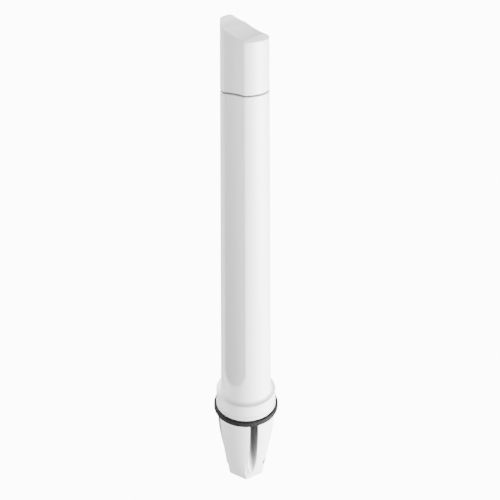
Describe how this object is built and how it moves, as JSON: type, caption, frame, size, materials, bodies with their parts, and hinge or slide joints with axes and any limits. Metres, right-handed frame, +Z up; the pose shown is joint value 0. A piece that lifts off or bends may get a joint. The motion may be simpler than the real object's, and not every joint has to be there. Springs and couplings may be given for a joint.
{
  "type": "omnidirectional antenna",
  "caption": "Slim tapered mast-top omnidirectional antenna with a slanted cap, two scalloped faces, a flanged collar with gasket, and a free-turning fluted threaded ferrule.",
  "frame": {"origin": "centre of the ferrule's flat hexagonal foot", "axes": "+Z up the antenna; the two scallops face -Y and +Y; the cap is low at +X and high at -X; the locking screw is on +X"},
  "size_m": [0.0672, 0.0672, 0.4857],
  "materials": {
    "white_radome_plastic": "satin-gloss white moulded plastic",
    "white_ferrule_plastic": "satin white moulded plastic",
    "black_rubber": "matt black rubber",
    "grey_rubber": "matt dark grey rubber",
    "black_steel": "black-oxide steel",
    "natural_nylon": "natural nylon",
    "white_ptfe": "waxy white PTFE",
    "insert_brass": "turned brass",
    "stainless_steel": "turned stainless steel",
    "gold_plate": "gold-plated brass",
    "glass_epoxy": "green glass-epoxy laminate",
    "copper_foil": "bare copper foil",
    "black_cable_jacket": "black cable jacket",
    "ferrite": "sintered ferrite"
  },
  "bodies": {
    "ferrule": {"mounting_ferrule": "white_ferrule_plastic", "thread_insert": "insert_brass", "retaining_ring": "stainless_steel"},
    "antenna": {"base_flange": "white_radome_plastic", "board_carrier": "natural_nylon", "board_joiner": "natural_nylon", "cap_seal": "grey_rubber", "connector_plate": "stainless_steel", "flange_seal": "black_rubber", "gasket_ring": "black_rubber", "hub_screw_1": "stainless_steel", "hub_screw_2": "stainless_steel", "hub_screw_3": "stainless_steel", "hub_screw_4": "stainless_steel", "hub_seal": "black_rubber", "jack_a_body": "gold_plate", "jack_a_contact": "gold_plate", "jack_a_insulator": "white_ptfe", "jack_a_nut": "gold_plate", "jack_a_washer": "stainless_steel", "jack_b_body": "gold_plate", "jack_b_contact": "gold_plate", "jack_b_insulator": "white_ptfe", "jack_b_nut": "gold_plate", "jack_b_washer": "stainless_steel", "lower_board": "glass_epoxy", "lower_dipole_lower_arm": "copper_foil", "lower_dipole_upper_arm": "copper_foil", "lower_feed_cable": "black_cable_jacket", "lower_ferrite_sleeve": "ferrite", "lower_spacer": "natural_nylon", "plate_screw_1": "stainless_steel", "plate_screw_2": "stainless_steel", "radome": "white_radome_plastic", "swivel_hub": "natural_nylon", "thrust_washer": "white_ptfe", "top_cap": "white_radome_plastic", "upper_board": "glass_epoxy", "upper_dipole_lower_arm": "copper_foil", "upper_dipole_upper_arm": "copper_foil", "upper_feed_cable": "black_cable_jacket", "upper_ferrite_sleeve": "ferrite", "upper_spacer": "natural_nylon"},
    "lock": {"locking_screw": "black_steel"}
  },
  "joints": [
    {"name": "ferrule_swivel", "type": "hinge", "parent": "ferrule", "child": "antenna", "pos_m": [0, 0, 0.055], "axis": [0, 0, 1], "continuous": true},
    {"name": "lock_travel", "type": "slide", "parent": "ferrule", "child": "lock", "axis": [1, 0, 0], "range_m": [-0.0009, 0.004]}
  ]
}
